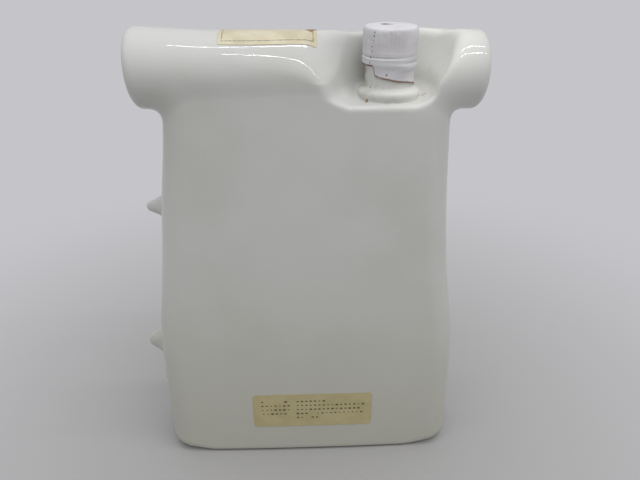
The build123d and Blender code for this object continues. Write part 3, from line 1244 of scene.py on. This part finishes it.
@dataclass
class Closure:
    """The stopper: fluted cap, cork, and the torn shrink film over them and the lip."""

    form: VesselForm
    film: FilmFinish = FilmFinish("shrink_film_white", roughness=0.36)
    hole: PlainFinish = PlainFinish("perforation_hole", 0.8, (0.10, 0.06, 0.035), (0.05, 0.03, 0.02))
    cap: PlainFinish = PlainFinish("cap_plastic_ivory", 0.34, (0.62, 0.60, 0.54), (0.57, 0.55, 0.49), 900.0)
    cork: CorkFinish = CorkFinish("stopper_cork_grain", 0.72)
    thickness: float = 0.20
    flutes: int = 44
    flute_depth: float = 0.24
    flute_foot: float = 216.6
    flute_head: float = 224.7
    flute_fade: float = 1.2
    flute_power: float = 3.0
    crown_wrinkle: float = 0.16
    skirt_wrinkle: float = 0.22
    wrinkle_level: float = 0.62
    columns: int = 352
    hub_radius: float = 0.7
    hub_thin: Span = (2.0, 9.0)
    top_thick: Span = (222.5, 224.6)
    skirt_top: float = 213.44
    skirt_rows: int = 44
    hem: float = 0.22
    hem_share: Span = (0.84, 1.0)
    torn_band: Span = (0.5, 0.95)
    perforation: float = 48.0
    perforation_top: float = 224.0
    perforation_lean: float = 0.75
    perforation_waver: Span = (0.9, 1.7)
    crown_dot_radius: float = 11.80
    dot_size: Place = (0.62, 0.80, 0.16)
    crown_dots: tuple[tuple[float, float], ...] = (
        (223.3, 0.7), (221.9, 0.9), (220.1, 0.8), (218.9, 0.6), (217.6, 0.9), (215.6, 0.8))
    skirt_dots: tuple[tuple[float, float], ...] = ((213.0, 1.5), (211.0, 0.8))
    crown_profile: tuple[tuple[float, float], ...] = (
        (11.84, 213.52), (11.85, 213.75), (11.88, 214.20), (11.90, 214.80), (11.86, 215.30), (11.83, 216.00),
        (11.83, 216.80), (11.84, 217.50), (11.85, 219.00), (11.86, 220.50), (11.86, 222.00), (11.82, 222.90),
        (11.70, 223.70), (11.46, 224.30), (11.05, 224.74), (10.50, 224.94), (9.6, 224.98), (8.0, 224.97),
        (6.0, 224.96), (4.0, 224.95), (2.0, 224.95), (0.7, 224.95),
    )
    tight: Stations = Stations(
        (199.5, 203.5, 206.4, 207.8, 208.9, 209.7, 210.6, 211.8, 212.8, 213.25, 213.45),
        (11.15, 10.95, 10.90, 11.0, 11.3, 11.85, 12.05, 12.05, 11.92, 11.66, 11.84))
    slack: Stations = Stations(
        (199.5, 203.0, 205.4, 206.6, 207.6, 208.4, 209.3, 210.2, 210.9, 211.5, 212.3, 213.45),
        (11.1, 10.95, 10.92, 11.1, 11.5, 12.0, 12.1, 11.95, 11.62, 11.80, 11.88, 11.84))
    slack_side: Span = (-0.15, 0.80)
    tear: Stations = Stations(
        (0, 48, 60, 97, 150, 180, 215, 260, 320, 360),
        (205.4, 205.3, 204.9, 203.5, 201.7, 200.4, 200.6, 203.0, 205.4, 205.4))
    high_tear: float = 209.4
    high_start: Span = (-2.5, 0.8)
    high_stop: Span = (316, 322)

    def build(self) -> None:
        """Builds the film and the holes and dresses the two CAD nodes that stay."""
        self.build_crown()
        self.build_skirt()
        self.build_perforations()
        for node, finish, slot in (("stopper_cap", self.cap, "cap_plastic"),
                                   ("stopper_cork", self.cork, "cork")):
            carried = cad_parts[node]
            carried.data.materials.clear()
            carried.data.materials.append(finish.make())
            log.info("%s: carried over from the frame", node)

    def round_rows(self, profile: Array) -> Array:
        """Turns closed cross sections round the neck.

        Args:
            profile: Radius and height as (columns, points, 2).

        Returns:
            Places as (columns, points, 3).
        """
        angles = np.linspace(0, 2 * math.pi, self.columns, endpoint=False)[:, None]
        return np.stack([self.form.neck_x + profile[..., 0] * np.cos(angles),
                         self.form.neck_y + profile[..., 0] * np.sin(angles),
                         profile[..., 1] + 0 * angles], 2)

    def flute_tree(self) -> Tree:
        """Makes the Geometry Nodes that press the cap's flutes and some wrinkles into the film.

        Returns:
            The tree, whose inputs say how many flutes, how deep, where and in what finish.
        """
        tree = bpy.data.node_groups.new("film_flutes", "GeometryNodeTree")
        name_sockets(tree, {
            "Film": "Geometry", "Flutes": "Int", "Flute depth": "Float", "Wrinkle depth": "Float",
            "Flute foot": "Float", "Flute head": "Float", "Axis": "Vector", "Seed": "Int",
            "Finish": "Material"}, "Film")
        given = add(tree, "NodeGroupInput").outputs
        place = add(tree, "GeometryNodeInputPosition").outputs[0]
        x, y, z = axes_of(tree, vector(tree, "SUBTRACT", place, given["Axis"]).outputs[0])
        angle = reckon(tree, "ARCTAN2", y, x)
        seeded = add(tree, "ShaderNodeCombineXYZ", {"X": times(tree, given["Seed"], 3.7)}).outputs[0]
        moved = vector(tree, "ADD", place, seeded).outputs[0]
        rough = noise(tree, moved, 420.0, 3.0, 0.6)
        strength = ramp(tree, noise(tree, moved, 190.0, 2.0), 0.28, 0.62)
        drift = reckon(tree, "MULTIPLY_ADD", noise(tree, moved, 120.0, 1.0), 1.6, -0.8)
        wave = reckon(tree, "COSINE", reckon(tree, "MULTIPLY_ADD", angle, given["Flutes"], drift))
        groove = reckon(tree, "POWER", reckon(tree, "MULTIPLY_ADD", wave, 0.5, 0.5), self.flute_power)
        fade = self.flute_fade * MM
        up = ramp(tree, z, given["Flute foot"], reckon(tree, "ADD", given["Flute foot"], fade))
        down = ramp(tree, z, given["Flute head"], reckon(tree, "SUBTRACT", given["Flute head"], fade))
        depth = times(tree, strength, given["Flute depth"])
        pressed = times(tree, groove, times(tree, up, down), depth)
        wrinkled = times(tree, reckon(tree, "SUBTRACT", rough, self.wrinkle_level), given["Wrinkle depth"])
        offset = reckon(tree, "SUBTRACT", wrinkled, pressed)
        flat = add(tree, "ShaderNodeCombineXYZ", {"X": x, "Y": y}).outputs[0]
        outward = vector(tree, "NORMALIZE", flat).outputs[0]
        scaled = {0: outward, "Scale": offset}
        push = add(tree, "ShaderNodeVectorMath", scaled, operation="SCALE").outputs[0]
        shaped = add(tree, "GeometryNodeSetPosition", {"Geometry": given["Film"], "Offset": push}).outputs[0]
        end_tree(tree, shaped, given["Finish"], "Film")
        return tree

    def press(self, piece: bpy.types.Object, flute_depth: float, wrinkle_depth: float, seed: int) -> None:
        """Runs the flute tree on a film and keeps the result as a plain mesh.

        Args:
            piece: The film.
            flute_depth: Depth of the flutes in millimetres.
            wrinkle_depth: Depth of the wrinkles.
            seed: Number that sets where they fall.
        """
        if "film_flutes" not in bpy.data.node_groups:
            self.flute_tree()
        run_tree(piece, bpy.data.node_groups["film_flutes"], {
            "Flutes": self.flutes, "Axis": (self.form.neck_x * MM, self.form.neck_y * MM, 0.0),
            "Finish": self.film.make(), "Flute depth": flute_depth * MM, "Wrinkle depth": wrinkle_depth * MM,
            "Flute foot": self.flute_foot * MM, "Flute head": self.flute_head * MM, "Seed": seed})

    def build_crown(self) -> None:
        """Builds the film over the cap, which goes with the stopper."""
        outer = np.array(self.crown_profile)
        between = [np.linspace(a, b, 3, endpoint=False) for a, b in zip(outer[:-1], outer[1:])]
        fine = np.concatenate(between + [outer[-1:]])
        inner = fine[::-1].copy()
        drawn_in = inner[:, 0] - self.thickness * ease(inner[:, 0], *self.hub_thin)
        inner[:, 0] = np.maximum(drawn_in, self.hub_radius)
        inner[:, 1] -= self.thickness * ease(inner[:, 1], *self.top_thick)
        section = np.concatenate([fine, inner])
        rows = self.round_rows(np.broadcast_to(section, (self.columns, *section.shape)))
        vertices, faces = shell(rows)
        keep, hub = self.close_hub(vertices, faces, len(fine) - 1, len(section))
        piece = new_piece("film_crown", keep, hub)
        face_out(piece)
        write_share(piece, "torn", np.zeros(len(piece.data.vertices)))
        self.press(piece, self.flute_depth, self.crown_wrinkle, seed=3)
        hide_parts("capsule_crown")
        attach(piece, Body.STOPPER.value)
        report(piece)

    def build_perforations(self) -> None:
        """Builds the two rows of holes along the tear line, one for each body."""
        axis = np.array([self.form.neck_x, self.form.neck_y, 0.0])
        for name, body, heights in (("crown_perforations", Body.STOPPER, self.crown_dots),
                                    ("skirt_perforations", Body.VESSEL, self.skirt_dots)):
            z = np.array([height for height, _ in heights])
            lean = self.perforation_lean * (self.perforation_top - z)
            swing, pace = self.perforation_waver
            angles = np.radians(self.perforation - lean + swing * np.sin(z * pace))
            outward = np.column_stack([np.cos(angles), np.sin(angles), np.zeros(len(z))])
            radius = np.full(len(z), self.crown_dot_radius)
            if body is Body.VESSEL:
                radius = self.skirt_radius(z, angles)
            places = axis + outward * radius[:, None]
            places[:, 2] = z
            MarkRow(name, MarkShape.DOT, self.hole, "shrink_film", body, *self.dot_size).build(
                places, outward, np.array([size for _, size in heights]))

    def close_hub(self, vertices: Array, faces: list, tip: int, points: int) -> tuple[Array, list]:
        """Replaces the strip that joins the two skins at the axis by two hub points.

        Args:
            vertices: Places of the turned skin.
            faces: Its quads.
            tip: Number of the outer skin's last point in a cross section.
            points: Points in a cross section.

        Returns:
            Vertices and faces of the closed film.
        """
        kept = [f for f in faces if {f[0] % points, f[1] % points} != {tip, tip + 1}]
        above, below = len(vertices), len(vertices) + 1
        for i in range(self.columns):
            j = (i + 1) % self.columns
            kept.append((i * points + tip, above, j * points + tip))
            kept.append((i * points + tip + 1, j * points + tip + 1, below))
        tops = vertices.reshape(self.columns, points, 3)[:, tip:tip + 2].mean(0)
        return np.concatenate([vertices, tops]), kept

    def skirt_radius(self, z: Array, angles: Array) -> Array:
        """Outer radius of the film from the lip to the neck, with a crease that sinks to one side.

        Args:
            z: Heights.
            angles: Directions round the neck.

        Returns:
            Radii in millimetres.
        """
        side = ease(-np.cos(angles), *self.slack_side)
        return self.tight.at(z) * (1 - side) + self.slack.at(z) * side

    def torn_edge(self, angles: Array) -> Array:
        """Height of the film's lower edge.

        Args:
            angles: Directions round the neck.

        Returns:
            Heights in millimetres.
        """
        degrees = np.degrees(angles) % 360
        low = self.tear.at(degrees)
        before, after = (self.perforation + offset for offset in self.high_start)
        left = (1 - ease(degrees, before, after)) + ease(degrees, *self.high_stop)
        ragged = 0.05 * np.sin(angles * 9 + 1.0) + 0.03 * np.sin(angles * 23 + 0.4)
        return low * (1 - left) + self.high_tear * left + ragged

    def build_skirt(self) -> None:
        """Builds the film left on the lip and neck, torn along its lower edge."""
        angles = np.linspace(0, 2 * math.pi, self.columns, endpoint=False)[:, None]
        share = np.linspace(0, 1, self.skirt_rows)[None, :]
        top, low = self.skirt_top, self.torn_edge(angles)
        height = top + (low - top) * share
        outer = np.stack([self.skirt_radius(height, angles), height], 2)
        outer[..., 0] += self.hem * ease(share, *self.hem_share)
        inner = outer[:, ::-1].copy()
        inner[..., 0] -= self.thickness
        profile = np.concatenate([outer, inner], 1)
        vertices, faces = shell(self.round_rows(profile))
        piece = new_piece("film_skirt", vertices, faces)
        face_out(piece)
        near = np.concatenate([height - low, (height - low)[:, ::-1]], 1)
        write_share(piece, "torn", 1 - ease(near.ravel(), *self.torn_band))
        self.press(piece, 0.0, self.skirt_wrinkle, seed=8)
        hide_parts("capsule_skirt")
        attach(piece, Body.VESSEL.value)
        report(piece)


class MarkShape(Enum):
    """What a row of small marks is made of."""

    DOT = "dot"
    DASH = "dash"


@dataclass
class MarkRow:
    """Small repeated marks that Geometry Nodes set on points of a surface."""

    name: str
    shape: MarkShape
    finish: PlainFinish
    slot: str
    body: Body
    width: float
    height: float
    depth: float
    variation: float = 0.3
    seed: int = 5

    def mark_tree(self) -> Tree:
        """Makes the Geometry Nodes that put one mark on each point, facing out of the surface.

        Returns:
            The tree, whose inputs say how large the marks are and how much they vary.
        """
        tree = bpy.data.node_groups.new(f"{self.shape.value}_marks", "GeometryNodeTree")
        name_sockets(tree, {
            "Places": "Geometry", "Width": "Float", "Height": "Float", "Depth": "Float",
            "Variation": "Float", "Seed": "Int", "Finish": "Material"}, "Marks")
        given = add(tree, "NodeGroupInput").outputs
        kind, unit = {
            MarkShape.DOT: ("GeometryNodeMeshIcoSphere", {"Radius": 0.5, "Subdivisions": 2}),
            MarkShape.DASH: ("GeometryNodeMeshCube", {"Size": (1.0, 1.0, 1.0)}),
        }[self.shape]
        mark = add(tree, kind, unit).outputs["Mesh"]
        facing, length = (
            add(tree, "GeometryNodeInputNamedAttribute", {"Name": name}, data_type=data_type).outputs[0]
            for name, data_type in (("facing", "FLOAT_VECTOR"), ("length", "FLOAT")))
        turned = add(tree, "FunctionNodeAlignRotationToVector", {"Vector": facing}, axis="Z").outputs[0]
        level = {"Rotation": turned, "Vector": (-1.0, 0.0, 0.0)}
        turned = add(tree, "FunctionNodeAlignRotationToVector", level, axis="X", pivot_axis="Z").outputs[0]
        chance = add(tree, "FunctionNodeRandomValue", {"Seed": given["Seed"]}, data_type="FLOAT").outputs[1]
        even = reckon(tree, "SUBTRACT", 1.0, given["Variation"])
        factor = reckon(tree, "MULTIPLY_ADD", chance, given["Variation"], even)
        wide = times(tree, given["Width"], length, factor)
        high = times(tree, given["Height"], factor)
        size = add(tree, "ShaderNodeCombineXYZ", {"X": wide, "Y": high, "Z": given["Depth"]}).outputs[0]
        spread = add(tree, "GeometryNodeInstanceOnPoints", {
            "Points": given["Places"], "Instance": mark, "Rotation": turned, "Scale": size}).outputs[0]
        end_tree(tree, spread, given["Finish"], "Marks")
        return tree

    def build(self, places: Array, facings: Array, lengths: Array) -> bpy.types.Object:
        """Builds the marks and puts them on their body.

        Args:
            places: Where each mark sits, in millimetres.
            facings: Directions out of the surface.
            lengths: Shares of the width for each mark.

        Returns:
            The marks as one plain mesh.
        """
        piece = new_piece(self.name, places, [])
        attribute = piece.data.attributes.new("facing", "FLOAT_VECTOR", "POINT")
        attribute.data.foreach_set("vector", np.asarray(facings, np.float32).ravel())
        write_share(piece, "length", lengths)
        run_tree(piece, self.mark_tree(), {
            "Width": self.width * MM, "Height": self.height * MM, "Depth": self.depth * MM,
            "Variation": self.variation, "Seed": self.seed, "Finish": self.finish.make()})
        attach(piece, self.body.value)
        report(piece)
        return piece


# Height on the label and the stretches of dashes there, in millimetres from its middle.
PRINTED_ROWS: Rows = (
    (6.3, ((-27.0, -25.0), (-14.5, -12.5), (-8.0, 7.0))),
    (3.5, ((-27.0, -12.5), (-8.0, 28.0))),
    (0.7, ((-27.0, -12.5), (-8.0, 26.0))),
    (-2.1, ((-26.5, -12.5), (-8.0, -1.0), (3.0, 27.0))),
    (-4.9, ((-8.0, -4.0), (0.0, 4.0))),
)


@dataclass
class PaperLabel:
    """A paper label laid on the glaze; bend is how far its -X end turns towards -Y when on top."""

    name: str
    node: str
    slot: str
    form: VesselForm
    finish: PaperFinish
    centre: Span
    width: float
    height: float
    corner: float
    on_top: bool
    step: float = 0.8
    lift: float = 0.05
    thickness: float = 0.14
    dash_gap: float = 2.35
    dash_size: Place = (1.5, 1.15, 0.05)
    dash_variation: float = 0.55
    dash_lift: float = 0.005
    bend: float = 0.0
    top_start: float = 224.0
    back_start: float = 18.0
    rounds: int = 30

    def ground(self, u: Array, v: Array) -> Array:
        """Finds the glaze under the label.

        Args:
            u: Places along the label's width.
            v: Places along its height.

        Returns:
            Points on the glaze, one row each.
        """
        if self.on_top:
            points, axis = np.column_stack([u, v, np.full(u.shape, self.top_start)]), 2
        else:
            points, axis = np.column_stack([u, np.full(u.shape, self.back_start), v]), 1
        for _ in range(self.rounds):
            points[:, axis] -= np.clip(self.form.outside(*points.T), -1.0, 1.0) * 0.9
        return points

    def outline(self, across: int, along: int) -> tuple[Array, Array]:
        """Lays out the flat sheet with its round corners.

        Args:
            across: Steps along the width.
            along: Steps along the height.

        Returns:
            Places along the width and the height, one for each point of the sheet.
        """
        u, v = np.meshgrid(np.linspace(-1, 1, across + 1), np.linspace(-1, 1, along + 1), indexing="ij")
        u, v = u * self.width / 2, v * self.height / 2
        inner_u, inner_v = self.width / 2 - self.corner, self.height / 2 - self.corner
        over_u, over_v = np.maximum(np.abs(u) - inner_u, 0), np.maximum(np.abs(v) - inner_v, 0)
        both = (over_u > 0) & (over_v > 0)
        far = np.hypot(over_u, over_v)
        square = np.maximum(over_u, over_v)
        shrink = np.where(both, square / np.maximum(far, TINY), 1.0)
        u = np.where(both, np.sign(u) * (inner_u + over_u * shrink), u)
        v = np.where(both, np.sign(v) * (inner_v + over_v * shrink), v)
        return u.ravel(), v.ravel()

    @staticmethod
    def sheet_faces(across: int, along: int) -> list[tuple[int, ...]]:
        """Joins an upper and a lower layer of points into a closed sheet.

        Args:
            across: Steps along the width.
            along: Steps along the height.

        Returns:
            Quads of both layers and of the rim between them.
        """
        count, rows = (across + 1) * (along + 1), along + 1
        faces = []
        for i in range(across):
            for j in range(along):
                a, b = i * rows + j, (i + 1) * rows + j
                faces += [(a, b, b + 1, a + 1), (a + 1 + count, b + 1 + count, b + count, a + count)]
        rim = [i * rows for i in range(across)] + [across * rows + j for j in range(along)]
        rim += [i * rows + along for i in range(across, 0, -1)] + list(range(along, 0, -1))
        return faces + [(b, a, a + count, b + count) for a, b in zip(rim, rim[1:] + rim[:1])]

    def lean_out(self, ground: Array) -> Array:
        """Directions out of the glaze, one long, at points on it."""
        out = slope_of(self.form.outside, ground)
        return out / np.linalg.norm(out, axis=1, keepdims=True)

    def build(self) -> bpy.types.Object:
        """Builds the sheet, dresses it and puts it on the vessel.

        Returns:
            The label.
        """
        across, along = round(self.width / self.step), round(self.height / self.step)
        flat_u, flat_v = self.outline(across, along)
        turned = self.bend * (0.5 - flat_u / self.width) ** 3
        ground = self.ground(flat_u + self.centre[0], flat_v + self.centre[1] - turned)
        out = self.lean_out(ground)
        low, high = ground + out * self.lift, ground + out * (self.lift + self.thickness)
        vertices, faces = np.concatenate([high, low]), self.sheet_faces(across, along)
        piece = new_piece(self.name, vertices, faces)
        face_out(piece)
        piece.data.set_sharp_from_angle(angle=SHARP_EDGE)
        write_uv(piece, np.tile(flat_u, 2), np.tile(flat_v, 2))
        piece.data.materials.append(self.finish.make())
        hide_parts(self.node)
        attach(piece, Body.VESSEL.value)
        report(piece)
        return piece

    def rule(self, name: str, ink: PlainFinish, rows: Rows) -> bpy.types.Object:
        """Prints rows of plain dashes, which stand for nothing that can be read.

        Args:
            name: Name of the printed piece.
            ink: Finish of the dashes.
            rows: Height on the label and the (start, stop) stretches of each row.

        Returns:
            The dashes as one plain mesh.
        """
        u, v = [], []
        for height, stretches in rows:
            for start, stop in stretches:
                places = np.arange(start, stop, self.dash_gap)
                u.extend(places)
                v.extend(np.full(len(places), height))
        u, v = np.array(u), np.array(v)
        ground = self.ground(-u + self.centre[0], v + self.centre[1])
        out = self.lean_out(ground)
        marks = MarkRow(
            name, MarkShape.DASH, ink, self.slot, Body.VESSEL, *self.dash_size, self.dash_variation)
        return marks.build(ground + out * (self.lift + self.thickness + self.dash_lift), out, np.ones(len(u)))


@dataclass(frozen=True)
class Lamp:
    """A rectangular lamp: places and size in metres, power in watts."""

    name: str
    place: Place
    target: Place
    size: Span
    power: float
    mirrored: bool

    def hang(self) -> None:
        """Hangs the lamp, aimed at its target."""
        data = bpy.data.lights.new(self.name, "AREA")
        data.shape, data.energy = "RECTANGLE", self.power
        data.size, data.size_y = self.size
        made = bpy.data.objects.new(self.name, data)
        made.location = self.place
        made.visible_glossy = self.mirrored
        aim = Vector(self.target) - Vector(self.place)
        made.rotation_euler = aim.to_track_quat("-Z", "Y").to_euler()
        bpy.context.scene.collection.objects.link(made)


@dataclass
class Studio:
    """Plain pale floor, soft studio light and the camera; the eye is in millimetres."""

    floor_tone: Colour = (0.405, 0.402, 0.40)
    far_tone: Colour = (0.558, 0.558, 0.585)
    world_tone: Colour = (0.82, 0.82, 0.83)
    world_level: float = 0.61
    focal_length: float = 33.75
    sensor: float = 36.0
    clip: Span = (0.01, 20.0)
    eye: Place = (0.90, 266.72, 259.26)
    look: Place = (-0.028, -0.8906, -0.454)
    right: Place = (-0.9994, 0.0338, -0.0047)
    floor_half: float = 6.0
    floor_roughness: float = 0.62
    lamps: tuple[Lamp, ...] = (
        Lamp("overhead", (0.04, 0.25, 1.35), (0.0, 0.0, 0.10), (1.3, 1.1), 5.5, False),
        Lamp("tube_near", (-0.20, 0.10, 1.30), (-0.20, 0.0, 0.0), (0.8, 0.013), 1.7, True),
        Lamp("tube_far", (-0.70, 0.49, 1.25), (-0.70, 0.0, 0.0), (1.7, 0.013), 3.4, True),
    )

    def build(self) -> None:
        """Builds the floor, the world, the lamps and the camera."""
        self.build_floor()
        self.build_world()
        for lamp in self.lamps:
            lamp.hang()
        self.build_camera()

    def build_floor(self) -> None:
        """Builds the floor, which belongs to the studio and not to the decanter."""
        half = self.floor_half
        corners = [(-half, -half, 0), (half, -half, 0), (half, half, 0), (-half, half, 0)]
        mesh = bpy.data.meshes.new("floor")
        mesh.from_pydata(corners, [], [(0, 1, 2, 3)])
        floor = bpy.data.objects.new("floor", mesh)
        bpy.context.scene.collection.objects.link(floor)
        finish = FloorFinish("floor_tone", self.floor_roughness, self.floor_tone, self.far_tone)
        mesh.materials.append(finish.make())

    def build_world(self) -> None:
        """Gives the world one plain tone."""
        world = bpy.data.worlds.new("studio")
        world.use_nodes = True
        background = world.node_tree.nodes["Background"]
        background.inputs["Color"].default_value = (*self.world_tone, 1.0)
        background.inputs["Strength"].default_value = self.world_level
        bpy.context.scene.world = world

    def build_camera(self) -> None:
        """Puts the camera where the photograph was taken from."""
        data = bpy.data.cameras.new("camera")
        data.lens, data.sensor_width = self.focal_length, self.sensor
        data.clip_start, data.clip_end = self.clip
        camera = bpy.data.objects.new("camera", data)
        look, right = Vector(self.look).normalized(), Vector(self.right)
        right = (right - look * right.dot(look)).normalized()
        up = right.cross(look)
        turn = Matrix((right, up, -look)).transposed().to_4x4()
        camera.matrix_world = Matrix.Translation(Vector(self.eye) * MM) @ turn
        bpy.context.scene.collection.objects.link(camera)
        bpy.context.scene.camera = camera


# The whole scene


def main() -> None:
    """Builds the decanter round the frame and sets the studio."""
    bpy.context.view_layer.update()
    bpy.context.scene.view_settings.view_transform = "Standard"
    Studio().build()
    vessel = GlazedVessel()
    vessel.build()
    Closure(vessel.form).build()
    gold = PaperFinish("gold_paper_strip", 0.30, (0.74, 0.68, 0.50), (0.60, 0.54, 0.37), size=(41.0, 20.0),
                       border=1.8, coat=0.7)
    PaperLabel("strip_label", "shoulder_label", "gold_paper", vessel.form, gold,
               (14.0, 2.0), 41.0, 20.0, 1.2, True, bend=3.5).build()
    tan = PaperFinish("tan_paper_back", 0.55, (0.54, 0.475, 0.26), (0.48, 0.42, 0.22), size=(64.0, 22.0))
    rear = PaperLabel("rear_label", "back_label", "tan_paper", vessel.form, tan,
                      (-2.4, 29.3), 64.0, 22.0, 2.0, False)
    rear.build()
    ink = PlainFinish("label_ink", 0.6, (0.11, 0.09, 0.05), (0.16, 0.13, 0.07), 900.0)
    rear.rule("rear_label_dashes", ink, PRINTED_ROWS)


if __name__ == "__main__":
    main()
